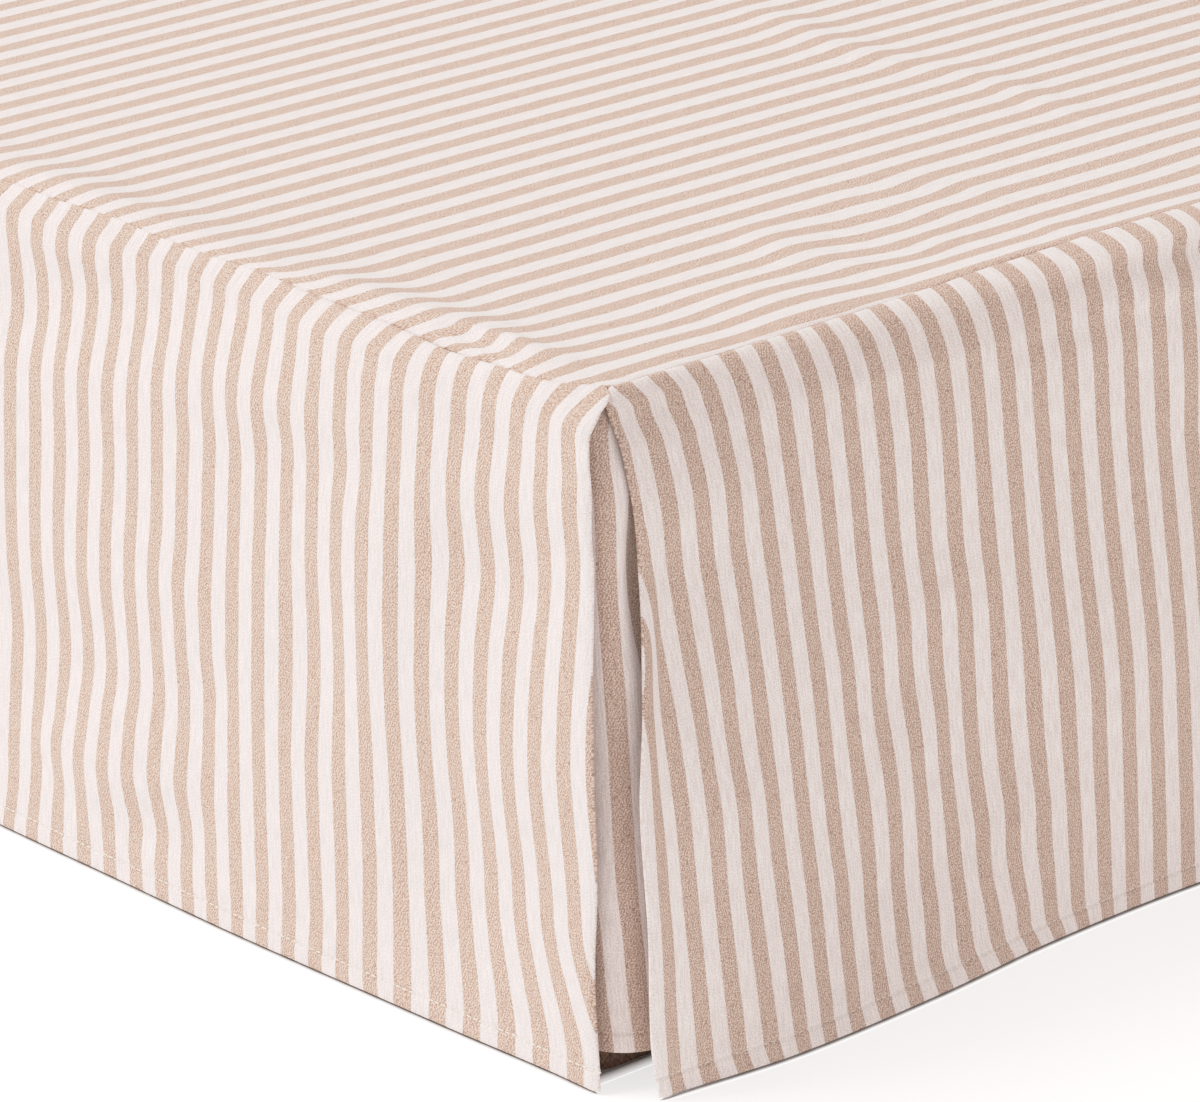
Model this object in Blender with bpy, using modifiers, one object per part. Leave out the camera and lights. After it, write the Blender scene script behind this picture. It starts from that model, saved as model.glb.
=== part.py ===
"""A three-sided bed skirt with split foot corners, lying on a plain upholstered bed base.

The deck panel covers the top of the base. A drop is sewn to its foot edge and to each long edge, and the head
edge has none. The drops part at the two foot corners, where a pleat panel hangs behind the split. Cloth hangs
unevenly, so each drop is worked out from a short table of cross-sections and a table of single folds.

Frame: +Z up, origin on the floor under the middle of the base, foot of the bed towards -Y.
Positions on a drop: along is measured from its foot corner, down from the deck's level and out from the plane
in which the drop would hang straight. The tables are in millimetres, and the rest is in metres.
"""

import math
from collections import namedtuple

import bmesh
import bpy
from mathutils import Vector

MM = 0.001

# Driving sizes
BASE_WIDTH = 1.500
BASE_LENGTH = 2.000
DECK_HEIGHT = 0.341
CLOTH = 0.0016  # thickness of one layer of cloth
HEM_HEIGHT = 0.002  # the drops' hems above the floor
PLEAT_HEM_HEIGHT = 0.017  # the corner pleats hang a little shorter
REST_GAP = 0.0004  # between the deck panel and the base that it lies on
SEAM_GAP = 0.0013  # between the two cloths of a seam, on the side that shows

# The bed base
BASE_TOP = DECK_HEIGHT - CLOTH - REST_GAP
BASE_TOP_RADIUS = 0.044
BASE_CORNER_RADIUS = 0.009
BASE_TOP_STEPS = 6
BASE_CORNER_STEPS = 3

# The planes in which the drops hang, off the middle of the bed
SIDE_PLANE = BASE_WIDTH / 2 + 0.012
FOOT_PLANE = BASE_LENGTH / 2 + 0.015
HEAD_EDGE = BASE_LENGTH / 2 - 0.006

# Grids
SHOULDER_SHARE = 0.32  # share of a drop's rows that go round its rounded shoulder
DROP_ROWS = 13
FOOT_COLUMNS = 40  # the deck panel has the same, so that they meet along the seam
SIDE_COLUMNS = 44
DECK_ROWS = 22
PLEAT_COLUMNS = 14
PLEAT_ROWS = 12
FOOT_CROWDING = 0.70  # how far the columns and rows crowd towards the ends of a piece, where it turns most
DECK_CROWDING = 0.85
SIDE_CROWDING, SIDE_CROWDING_POWER = 0.65, 1.7
PLEAT_CROWDING_POWER = 1.5

# Depths below the deck at which a section row gives the cloth's distance out
BROW, CHEST, WAIST, SKIRT = 0.030, 0.090, 0.170, 0.250
HEM = DECK_HEIGHT - HEM_HEIGHT

# One row for each cross-section of a drop. rise: the seam above the deck's level; inset: the seam behind the
# drop's plane; fullness: 100 where the shoulder is a quarter round, 0 where it is a straight slope; then the
# distance out at the brow, chest, waist and skirt depths and at the hem.
Section = namedtuple("Section", "along rise inset fullness brow chest waist skirt hem")
FOOT_SECTIONS = [
    Section(22, 0, 28, 75, -4, -1, 7, 2, 2),
    Section(48, -2, 15, 75, -4, -2, 6, 1, 3),
    Section(90, -3, 15, 85, -4, -1, 5, 1, 5),
    Section(150, -3, 15, 100, 0, 4, 8, 8, 7),
    Section(250, -3, 15, 85, -5, 0, 6, 9, 10),
    Section(350, -3, 15, 75, -10, -1, 4, 9, 10),
    Section(440, -3, 15, 75, -9, -4, 0, 1, 10),
    Section(580, -2, 15, 100, -3, 2, 6, 9, 6),
    Section(740, -3, 15, 100, -7, -1, 3, 4, 10),
    Section(900, -3, 15, 100, -1, 4, 8, 7, 5),
    Section(1060, -3, 15, 100, -8, -2, 2, 8, 11),
    Section(1230, -2, 15, 100, -2, 3, 7, 5, 6),
    Section(1380, -3, 15, 100, -6, -1, 5, 9, 8),
    Section(1460, -2, 15, 75, -4, -2, 5, 2, 3),
    Section(1502, 0, 28, 75, -4, -1, 6, 2, 2),
]
SIDE_SECTIONS = [
    Section(28, 0, 21, 50, -6, 4, 19, 27, 31),
    Section(100, 0, 21, 60, -4, 5, 16, 25, 38),
    Section(200, 0, 21, 75, 0, 5, 13, 19, 35),
    Section(280, 2, 21, 100, 6, 10, 17, 23, 28),
    Section(360, 3, 21, 115, 11, 13, 20, 25, 26),
    Section(460, 2, 21, 100, 8, 11, 18, 24, 28),
    Section(640, 0, 21, 100, 0, 5, 11, 16, 22),
    Section(820, 2, 21, 100, 7, 12, 20, 26, 30),
    Section(1020, 0, 21, 100, 1, 5, 12, 17, 23),
    Section(1230, 2, 21, 100, 6, 12, 18, 23, 26),
    Section(1450, 0, 21, 100, 0, 4, 12, 20, 27),
    Section(1690, 1, 21, 100, 5, 9, 14, 18, 21),
    Section(2009, 0, 21, 100, 1, 4, 9, 13, 17),
]
FAR_SIDE_SECTIONS = [
    Section(28, 0, 21, 50, -6, 4, 17, 25, 31),
    Section(130, 0, 21, 60, -2, 6, 15, 21, 27),
    Section(300, 2, 21, 100, 7, 11, 17, 22, 24),
    Section(520, 0, 21, 100, 0, 5, 13, 20, 28),
    Section(760, 2, 21, 100, 6, 12, 19, 23, 25),
    Section(980, 0, 21, 100, -1, 4, 10, 17, 24),
    Section(1240, 1, 21, 100, 6, 10, 16, 24, 29),
    Section(1480, 0, 21, 100, 1, 5, 13, 17, 20),
    Section(1740, 2, 21, 100, 6, 9, 15, 20, 24),
    Section(2009, 0, 21, 100, 1, 4, 9, 13, 17),
]

# One row for each single fold or hollow: its middle, half length and half height, and how far out it stands
Fold = namedtuple("Fold", "along down half_length half_height out")
FOOT_FOLDS = [
    Fold(70, 95, 60, 40, -2),
    Fold(150, 120, 45, 100, 2),
    Fold(335, 280, 70, 50, 4),
    Fold(400, 50, 130, 35, -3),
    Fold(660, 300, 60, 70, 5),
    Fold(820, 60, 90, 35, -4),
    Fold(1000, 250, 60, 90, 4),
    Fold(1150, 190, 70, 60, -4),
    Fold(1320, 290, 60, 60, 5),
]
SIDE_FOLDS = [
    Fold(60, 195, 50, 60, 2),
    Fold(205, 220, 80, 80, -4),
    Fold(330, 200, 70, 60, 2),
    Fold(540, 290, 60, 80, 6),
    Fold(730, 210, 60, 90, -5),
    Fold(930, 290, 60, 90, 6),
    Fold(1120, 230, 80, 80, -5),
    Fold(1340, 300, 60, 70, 6),
    Fold(1580, 260, 80, 90, 5),
    Fold(1850, 290, 70, 80, 6),
]
FAR_SIDE_FOLDS = [
    Fold(210, 290, 60, 80, 5),
    Fold(420, 220, 70, 80, -5),
    Fold(640, 300, 60, 80, 6),
    Fold(880, 240, 80, 80, -4),
    Fold(1110, 300, 60, 80, 6),
    Fold(1360, 270, 60, 90, -4),
    Fold(1600, 300, 70, 70, 6),
    Fold(1880, 260, 60, 80, 5),
]

# The free edge that each drop shows at a split corner, by depth. along: from the corner, under 0 past it.
EdgePoint = namedtuple("EdgePoint", "down along")
FOOT_SPLIT_EDGE = [
    EdgePoint(0, 22),
    EdgePoint(5, 19),
    EdgePoint(20, 9),
    EdgePoint(70, 3),
    EdgePoint(115, 0),
    EdgePoint(165, -6),
    EdgePoint(215, -6),
    EdgePoint(283, -1),
    EdgePoint(338, -6),
]
SIDE_SPLIT_EDGE = [
    EdgePoint(0, 29),
    EdgePoint(6, 22.5),
    EdgePoint(20, 23.5),
    EdgePoint(65, 26.5),
    EdgePoint(100, 25.5),
    EdgePoint(150, 18),
    EdgePoint(195, 11),
    EdgePoint(255, 12),
    EdgePoint(310, 12),
    EdgePoint(338, 16),
]
SPLIT_REACH = 0.080  # the drop's threads follow its free edge this far from it

# The corner pleat, by depth: how far out its side face and its foot face hang, and the radius between them
PleatSection = namedtuple("PleatSection", "down side foot radius")
PLEAT_SECTIONS = [
    PleatSection(6, -24, -17, 13),
    PleatSection(20, -14, -10, 13),
    PleatSection(50, -4.7, -7, 16),
    PleatSection(90, -2, -7, 20),
    PleatSection(140, 5, -7, 22),
    PleatSection(190, 9, -7, 25),
    PleatSection(250, 11, -7, 27),
    PleatSection(324, 12, -7, 28),
]
PLEAT_REACH = 0.110  # how far the pleat panel runs behind each drop from the corner

# Soft rises in the deck panel, measured from the right-hand foot corner
Rise = namedtuple("Rise", "across along half_width half_length up")
DECK_RISES = [
    Rise(150, 28, 95, 30, 2.9),
    Rise(395, 30, 85, 30, 1.5),
    Rise(80, 45, 50, 45, 2.6),
    Rise(55, 160, 55, 100, 2.5),
    Rise(110, 228, 60, 40, 1.4),
    Rise(25, 310, 40, 120, 2.4),
    Rise(310, 488, 120, 45, 1.8),
]
FOOT_ROLL = 0.0018  # the deck's foot edge is a low roll
FOOT_ROLL_MIDDLE, FOOT_ROLL_HALF_WIDTH = 0.011, 0.032
FOOT_ROLL_FADE = 0.050  # and it fades out this near a side seam
SEAM_DIP_WIDTH = 0.013

MATERIALS = {  # name: (colour, roughness)
    "striped_cloth": ((0.76, 0.66, 0.58, 1.0), 0.85),
    "striped_cloth_deck": ((0.80, 0.71, 0.63, 1.0), 0.85),
    "striped_cloth_pleat": ((0.55, 0.46, 0.39, 1.0), 0.88),
    "base_cloth": ((0.13, 0.08, 0.05, 1.0), 0.90),
}


def smooth(t):
    """0 below 0, 1 above 1 and an S-curve between."""
    t = min(max(t, 0.0), 1.0)
    return t * t * (3 - 2 * t)


def bell(t):
    """1 at 0, falling smoothly to 0 at -1 and 1."""
    return (1 - t * t) ** 2 if abs(t) < 1 else 0.0


def curve_through(knots, values, x):
    """A smooth curve through the values at the knots (cubic Hermite), flat beyond both ends."""
    if x <= knots[0]:
        return values[0]
    if x >= knots[-1]:
        return values[-1]
    i = max(k for k in range(len(knots) - 1) if knots[k] <= x)
    last = len(knots) - 1

    def slope(k):
        before, after = max(k - 1, 0), min(k + 1, last)
        return (values[after] - values[before]) / (knots[after] - knots[before])

    width = knots[i + 1] - knots[i]
    t = (x - knots[i]) / width
    start = values[i] * (1 + 2 * t) * (1 - t) ** 2 + slope(i) * width * t * (1 - t) ** 2
    end = values[i + 1] * t * t * (3 - 2 * t) + slope(i + 1) * width * t * t * (t - 1)
    return start + end


def row_at(table, along):
    """The table's row at any place along, read from smooth curves through its columns, in metres."""
    knots = [row[0] for row in table]
    columns = zip(*table)
    return type(table[0])(*(MM * curve_through(knots, column, along / MM) for column in columns))


def fold_out(folds, along, down):
    """How far the single folds push the cloth out at one place."""
    total = 0.0
    for fold in folds:
        beside = bell((along / MM - fold.along) / fold.half_length)
        total += fold.out * beside * bell((down / MM - fold.down) / fold.half_height)
    return MM * total


def drop_section(sections, folds, along, share):
    """(out, down) of a drop at one place along it. share: 0 at the seam, 1 at the hem."""
    row = row_at(sections, along)
    if share < SHOULDER_SHARE:
        turn = math.pi / 2 * share / SHOULDER_SHARE
        fullness = row.fullness / (100 * MM)
        reach = fullness * math.sin(turn) + (1 - fullness) * (1 - math.cos(turn))
        out = -row.inset + SEAM_GAP / 2 + (row.inset + row.brow) * reach
        down = -row.rise + (BROW + row.rise) * (1 - math.cos(turn))
    else:
        down = BROW + (HEM - BROW) * (share - SHOULDER_SHARE) / (1 - SHOULDER_SHARE)
        levels = (BROW, CHEST, WAIST, SKIRT, HEM)
        out = curve_through(levels, (row.brow, row.chest, row.waist, row.skirt, row.hem), down)
    return out + fold_out(folds, along, down) * smooth(share / SHOULDER_SHARE), down


def split_edge(edge, down):
    return MM * curve_through([p.down for p in edge], [p.along for p in edge], down / MM)


def drop_point(sections, folds, edge, length, share_along, share_down, both_ends):
    """(along, out, down) on a drop whose free edge follows the split corner, at one end or at both."""
    nominal = length * share_along
    down = drop_section(sections, folds, nominal, share_down)[1]
    shift = split_edge(edge, down)
    along = nominal + shift * (1 - smooth(nominal / SPLIT_REACH))
    if both_ends:
        along -= shift * (1 - smooth((length - nominal) / SPLIT_REACH))
    out, down = drop_section(sections, folds, along, share_down)
    return along, out, down


def end_weighted(t, strength):
    """Shares from 0 to 1 that crowd together at both ends."""
    return t - strength * math.sin(2 * math.pi * t) / (2 * math.pi)


def foot_surface(across, down_share):
    share = end_weighted(across, FOOT_CROWDING)
    along, out, down = drop_point(
        FOOT_SECTIONS, FOOT_FOLDS, FOOT_SPLIT_EDGE, 2 * SIDE_PLANE, share, down_share, both_ends=True
    )
    return SIDE_PLANE - along, -FOOT_PLANE - out, DECK_HEIGHT - down


def side_surface(sections, folds, back, down_share):
    share = back + SIDE_CROWDING * (back**SIDE_CROWDING_POWER - back)
    along, out, down = drop_point(
        sections, folds, SIDE_SPLIT_EDGE, FOOT_PLANE + HEAD_EDGE, share, down_share, both_ends=False
    )
    return SIDE_PLANE + out, along - FOOT_PLANE, DECK_HEIGHT - down


def deck_surface(across, back):
    """The deck panel: flat, with a roll at the foot, a dip to each seam and a few soft rises."""
    seam_x, seam_y, seam_z = foot_surface(across, 0)
    seam_y += SEAM_GAP
    y = seam_y + (HEAD_EDGE - seam_y) * end_weighted(back, DECK_CROWDING)
    side = row_at(SIDE_SECTIONS if seam_x > 0 else FAR_SIDE_SECTIONS, y + FOOT_PLANE)
    half_width = SIDE_PLANE - side.inset - SEAM_GAP / 2
    x = seam_x * half_width / abs(foot_surface(0, 0)[0])
    from_foot, from_side = y - seam_y, half_width - abs(x)
    z = DECK_HEIGHT + (seam_z - DECK_HEIGHT) * (1 - smooth(from_foot / SEAM_DIP_WIDTH))
    z += side.rise * (1 - smooth(from_side / SEAM_DIP_WIDTH))
    roll = FOOT_ROLL * smooth(from_side / FOOT_ROLL_FADE)
    z += roll * bell((from_foot - FOOT_ROLL_MIDDLE) / FOOT_ROLL_HALF_WIDTH)
    for rise in DECK_RISES:
        beside = bell(((SIDE_PLANE - x) / MM - rise.across) / rise.half_width)
        z += MM * rise.up * beside * bell(((y + FOOT_PLANE) / MM - rise.along) / rise.half_length)
    return x, y, z


def pleat_surface(round_share, down_share):
    """The corner pleat: flat behind the foot drop, round the corner, flat behind the side drop."""
    top = MM * PLEAT_SECTIONS[0].down
    down = top + (DECK_HEIGHT - PLEAT_HEM_HEIGHT - top) * down_share**PLEAT_CROWDING_POWER
    row = row_at(PLEAT_SECTIONS, down)
    turn_length = row.radius * math.pi / 2
    flat = PLEAT_REACH - row.radius
    walked = (2 * flat + turn_length) * round_share
    centre_x = SIDE_PLANE + row.side - row.radius
    centre_y = -FOOT_PLANE - row.foot + row.radius
    if walked < flat:
        return centre_x - flat + walked, centre_y - row.radius, DECK_HEIGHT - down
    if walked > flat + turn_length:
        return centre_x + row.radius, centre_y + walked - flat - turn_length, DECK_HEIGHT - down
    angle = (walked - flat) / row.radius - math.pi / 2
    x = centre_x + row.radius * math.cos(angle)
    y = centre_y + row.radius * math.sin(angle)
    return x, y, DECK_HEIGHT - down


def cloth_sheet(name, surface, columns, rows, outward, mirrored=False):
    """A grid laid on a surface, given its thickness behind the face that shows."""
    bm = bmesh.new()
    bmesh.ops.create_grid(bm, x_segments=columns, y_segments=rows, size=0.5)
    for vert in bm.verts:
        x, y, z = surface(vert.co.x + 0.5, vert.co.y + 0.5)
        vert.co = (-x if mirrored else x, y, z)
    bm.normal_update()
    facing = sum((face.normal * face.calc_area() for face in bm.faces), start=Vector())
    if facing.dot(outward) < 0:
        bmesh.ops.reverse_faces(bm, faces=bm.faces)
    obj = new_object(name, bm)
    thickness = obj.modifiers.new("cloth_thickness", "SOLIDIFY")
    thickness.thickness = CLOTH
    thickness.offset = -1
    thickness.use_even_offset = True
    return obj


def rounded_rectangle(half_width, half_length, radius, z):
    """Corner arcs of a rounded rectangle, counterclockwise."""
    points = []
    for corner, (sx, sy) in enumerate(((1, 1), (-1, 1), (-1, -1), (1, -1))):
        for step in range(BASE_CORNER_STEPS + 1):
            angle = math.pi / 2 * (corner + step / BASE_CORNER_STEPS)
            x = sx * (half_width - radius) + radius * math.cos(angle)
            y = sy * (half_length - radius) + radius * math.sin(angle)
            points.append((x, y, z))
    return points


def bed_base():
    """A loft of rounded rectangles: straight sides, then a rounded top edge."""
    levels = [(0.0, 0.0)]
    for step in range(BASE_TOP_STEPS + 1):
        turn = math.pi / 2 * step / BASE_TOP_STEPS
        inset = BASE_TOP_RADIUS * (1 - math.cos(turn))
        levels.append((inset, BASE_TOP - BASE_TOP_RADIUS * (1 - math.sin(turn))))
    bm = bmesh.new()
    rings = []
    for inset, z in levels:
        outline = rounded_rectangle(BASE_WIDTH / 2 - inset, BASE_LENGTH / 2 - inset, BASE_CORNER_RADIUS, z)
        rings.append([bm.verts.new(point) for point in outline])
    for lower, upper in zip(rings, rings[1:]):
        for i in range(len(lower)):
            j = (i + 1) % len(lower)
            bm.faces.new((lower[i], lower[j], upper[j], upper[i]))
    bm.faces.new(reversed(rings[0]))
    bm.faces.new(rings[-1])
    return new_object("bed_base", bm)


def new_object(name, bm):
    mesh = bpy.data.meshes.new(name)
    bm.to_mesh(mesh)
    bm.free()
    mesh.shade_smooth()
    obj = bpy.data.objects.new(name, mesh)
    parts.objects.link(obj)
    return obj


def set_material(obj, name):
    material = bpy.data.materials.get(name)
    if material is None:
        material = bpy.data.materials.new(name)
        material.use_nodes = True
        colour, roughness = MATERIALS[name]
        shader = material.node_tree.nodes["Principled BSDF"]
        shader.inputs["Base Color"].default_value = colour
        shader.inputs["Roughness"].default_value = roughness
        shader.inputs["Metallic"].default_value = 0.0
    obj.data.materials.append(material)


def side_drop(name, sections, folds, mirrored):
    def surface(back, down_share):
        return side_surface(sections, folds, back, down_share)

    outward = (-1 if mirrored else 1, 0, 0)
    obj = cloth_sheet(name, surface, SIDE_COLUMNS, DROP_ROWS, outward, mirrored)
    set_material(obj, "striped_cloth")


for old in list(bpy.data.objects):
    bpy.data.objects.remove(old)
parts = bpy.data.collections.new("bed_skirt_on_bed_base")
bpy.context.scene.collection.children.link(parts)

set_material(bed_base(), "base_cloth")
set_material(
    cloth_sheet("deck_panel", deck_surface, FOOT_COLUMNS, DECK_ROWS, (0, 0, 1)), "striped_cloth_deck"
)
set_material(cloth_sheet("foot_drop", foot_surface, FOOT_COLUMNS, DROP_ROWS, (0, -1, 0)), "striped_cloth")
side_drop("right_side_drop", SIDE_SECTIONS, SIDE_FOLDS, mirrored=False)
side_drop("left_side_drop", FAR_SIDE_SECTIONS, FAR_SIDE_FOLDS, mirrored=True)
for side_name, is_left in (("right", False), ("left", True)):
    pleat = cloth_sheet(
        f"{side_name}_corner_pleat",
        pleat_surface,
        PLEAT_COLUMNS,
        PLEAT_ROWS,
        (-1 if is_left else 1, -1, 0),
        mirrored=is_left,
    )
    set_material(pleat, "striped_cloth_pleat")
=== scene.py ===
# %% [markdown]
# # A striped cotton bed skirt on a bed base
# A bed skirt hides the base under a mattress. One flat panel, the deck, lies on the base under the
# mattress. Long strips called drops are sewn to three of its edges and hang to the floor. At each foot
# corner the two drops part, and a separate pleat panel hangs behind the split, so that the corner can open
# over a bed post.
#
# The plain solids of all these pieces are loaded first. They are in metres, with the floor at z = 0 and the
# foot of the bed towards -Y. The base solid only needs a finish. Each solid of cloth is replaced by a finer
# sheet with the same folds, because weave, seams, hems and small creases need more points.

# %% Load the solids
import math
from collections import namedtuple

import bmesh
import bpy
import numpy as np
from mathutils import Matrix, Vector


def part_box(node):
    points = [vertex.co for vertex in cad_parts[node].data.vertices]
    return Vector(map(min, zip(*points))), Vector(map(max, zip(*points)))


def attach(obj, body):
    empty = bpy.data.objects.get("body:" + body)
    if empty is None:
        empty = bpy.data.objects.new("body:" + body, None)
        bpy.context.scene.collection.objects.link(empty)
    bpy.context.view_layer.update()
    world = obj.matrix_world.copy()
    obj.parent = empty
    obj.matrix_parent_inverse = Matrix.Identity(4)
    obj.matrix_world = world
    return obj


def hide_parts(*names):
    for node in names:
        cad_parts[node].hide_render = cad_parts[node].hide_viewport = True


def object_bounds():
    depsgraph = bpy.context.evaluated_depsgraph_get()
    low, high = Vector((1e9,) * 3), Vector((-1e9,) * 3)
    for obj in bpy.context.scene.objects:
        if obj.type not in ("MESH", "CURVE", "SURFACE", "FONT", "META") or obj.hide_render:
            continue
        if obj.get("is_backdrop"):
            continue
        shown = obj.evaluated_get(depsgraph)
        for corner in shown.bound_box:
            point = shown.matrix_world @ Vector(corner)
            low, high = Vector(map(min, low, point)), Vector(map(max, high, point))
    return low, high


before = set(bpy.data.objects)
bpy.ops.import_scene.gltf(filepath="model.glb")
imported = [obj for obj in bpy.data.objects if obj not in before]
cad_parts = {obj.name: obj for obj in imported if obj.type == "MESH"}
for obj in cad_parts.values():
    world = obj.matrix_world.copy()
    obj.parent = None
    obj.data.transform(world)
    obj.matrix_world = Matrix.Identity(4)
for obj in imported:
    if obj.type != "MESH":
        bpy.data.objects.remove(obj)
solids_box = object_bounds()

for node in sorted(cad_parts):
    low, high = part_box(node)
    print("solid", node, "from", [round(v, 3) for v in low], "to", [round(v, 3) for v in high])

# %% [markdown]
# ## Sizes that every piece shares
# A sewing pattern starts from a few sizes of the bed. A place on a drop is given by how far it lies along
# from its foot corner, down from the deck and out from its plane, in which the drop would hang straight.
# The tables are in millimetres, as on a paper pattern, and everything else is in metres.

# %% Sizes
MM = 0.001
DECK_HEIGHT = 0.341
SIDE_PLANE = 0.762  # from the middle of the bed to the plane of a side drop
FOOT_PLANE = 1.015  # from the middle of the bed's length to the plane of the foot drop
HEAD_EDGE = 0.994
BASE_SIDE_GAP, BASE_FOOT_GAP = 0.012, 0.015  # from the base out to those planes
HEM_HEIGHT = 0.002
PLEAT_HEM_HEIGHT = 0.017
HEM = DECK_HEIGHT - HEM_HEIGHT
CLOTH = 0.0011  # one layer of the cotton
HEM_CLOTH = 0.0017  # and where it is turned up double
HEM_BAND = 0.0096  # the stitch line above the hem's edge
SEAM_GAP = 0.0005  # between the two cloths of a seam
STRIPE = 0.010  # one tan stripe or one white one
print(f"drops' planes {2 * SIDE_PLANE:.3f} m apart, deck {DECK_HEIGHT} m up, stripes {STRIPE / MM:.0f} mm")

# %% [markdown]
# ## Smooth curves through short tables
# Cloth hangs unevenly, and no simple formula gives its folds. A short table of cross-sections does: each
# row says how the cloth hangs at one place, and a smooth curve (a cubic Hermite curve) joins the rows.
# Single folds are then added as soft bumps. NumPy works on all the points of a grid at once, which keeps
# even 40,000 points quick.

# %% Curves
def smooth(t):
    """0 below 0, 1 above 1 and an S-curve between."""
    t = np.clip(t, 0.0, 1.0)
    return t * t * (3 - 2 * t)


def bell(t):
    """1 at 0, falling smoothly to 0 at -1 and 1."""
    return np.clip(1 - np.square(t), 0.0, None) ** 2


def table(columns, rows):
    """A table with named columns."""
    named = namedtuple("Row", columns)
    return [named(*row) for row in rows]


def curve_through(knots, values, x):
    """A smooth curve through the values at the knots, flat beyond both ends."""
    knots, values = np.asarray(knots, float), np.asarray(values, float)
    last = len(knots) - 1
    before, after = np.maximum(np.arange(last + 1) - 1, 0), np.minimum(np.arange(last + 1) + 1, last)
    slope = (values[after] - values[before]) / (knots[after] - knots[before])
    x = np.clip(x, knots[0], knots[-1])
    i = np.clip(np.searchsorted(knots, x, side="right") - 1, 0, last - 1)
    width = knots[i + 1] - knots[i]
    t = (x - knots[i]) / width
    start = values[i] * (1 + 2 * t) * (1 - t) ** 2 + slope[i] * width * t * (1 - t) ** 2
    return start + values[i + 1] * t * t * (3 - 2 * t) + slope[i + 1] * width * t * t * (t - 1)


def row_at(table, along):
    """The table's row at any place, from smooth curves through its columns, in metres."""
    knots, columns = [row[0] for row in table], zip(*table)
    return type(table[0])(*(MM * curve_through(knots, column, along / MM) for column in columns))


def uneven(x, length, seed):
    """A smooth random line between -1 and 1 that changes about once in every length."""
    heights = np.random.default_rng(seed).uniform(-1, 1, 4096)
    t = np.asarray(x) / length + 2048
    i = np.floor(t).astype(int)
    return heights[i] + (heights[i + 1] - heights[i]) * smooth(t - i)


def together(*values):
    """Points or threads from separate grids of coordinates."""
    return np.stack(values, axis=-1)


def places(*runs):
    """Places along a piece: each run is (from, to, spacing)."""
    found = [np.linspace(a, b, max(2, 1 + round((b - a) / gap)))[:-1] for a, b, gap in runs]
    return np.append(np.concatenate(found), runs[-1][1])

# %% [markdown]
# ## How the drops hang
# Four kinds of table draw each drop. The first gives its cross-sections, from the deck seam down to the
# hem, and how high the seam stands. The second gives its single folds and hollows. The third says where its
# threads are pulled sideways without a fold, by the needle or by the weight of the hem. The last gives its
# free edges, where the drops part at the foot corners.

# %% Cross-sections of the drops
# inset: the seam behind the drop's plane; fullness: 100 where the shoulder is
# a quarter round; then the distance out 30, 90, 170 and 250 mm down and at the hem
SECTION_COLUMNS = "along inset fullness brow chest waist skirt hem"
SHOULDER_SHARE = 0.32
BROW, CHEST, WAIST, SKIRT = 0.030, 0.090, 0.170, 0.250
FOOT_SECTIONS = table(SECTION_COLUMNS, [
    (22, 28, 75, -4, -1, 7, 2, 2),
    (48, 15, 75, -4, -2, 6, 1, 3),
    (90, 15, 85, -4, -1, 5, 1, 5),
    (150, 15, 100, 0, 4, 8, 8, 7),
    (250, 15, 85, -5, 0, 6, 9, 10),
    (350, 15, 75, -10, -1, 4, 9, 10),
    (440, 15, 75, -9, -4, 0, 1, 10),
    (580, 15, 100, -3, 2, 6, 9, 6),
    (740, 15, 100, -7, -1, 3, 4, 10),
    (900, 15, 100, -1, 4, 8, 7, 5),
    (1060, 15, 100, -8, -2, 2, 8, 11),
    (1230, 15, 100, -2, 3, 7, 5, 6),
    (1380, 15, 100, -6, -1, 5, 9, 8),
    (1460, 15, 75, -4, -2, 5, 2, 3),
    (1502, 28, 75, -4, -1, 6, 2, 2),
])
SIDE_SECTIONS = table(SECTION_COLUMNS, [
    (28, 21, 50, -6, 4, 19, 27, 31),
    (100, 21, 60, -4, 5, 16, 25, 38),
    (200, 21, 75, 0, 5, 13, 19, 35),
    (280, 21, 100, 6, 10, 17, 23, 28),
    (360, 21, 115, 11, 13, 20, 25, 26),
    (460, 21, 100, 8, 11, 18, 24, 28),
    (640, 21, 100, 0, 5, 11, 16, 22),
    (820, 21, 100, 7, 12, 20, 26, 30),
    (1020, 21, 100, 1, 5, 12, 17, 23),
    (1230, 21, 100, 6, 12, 18, 23, 26),
    (1450, 21, 100, 0, 4, 12, 20, 27),
    (1690, 21, 100, 5, 9, 14, 18, 21),
    (2009, 21, 100, 1, 4, 9, 13, 17),
])
FAR_SIDE_SECTIONS = table(SECTION_COLUMNS, [
    (28, 21, 50, -6, 4, 17, 25, 31),
    (130, 21, 60, -2, 6, 15, 21, 27),
    (300, 21, 100, 7, 11, 17, 22, 24),
    (520, 21, 100, 0, 5, 13, 20, 28),
    (760, 21, 100, 6, 12, 19, 23, 25),
    (980, 21, 100, -1, 4, 10, 17, 24),
    (1240, 21, 100, 6, 10, 16, 24, 29),
    (1480, 21, 100, 1, 5, 13, 17, 20),
    (1740, 21, 100, 6, 9, 15, 20, 24),
    (2009, 21, 100, 1, 4, 9, 13, 17),
])

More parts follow.
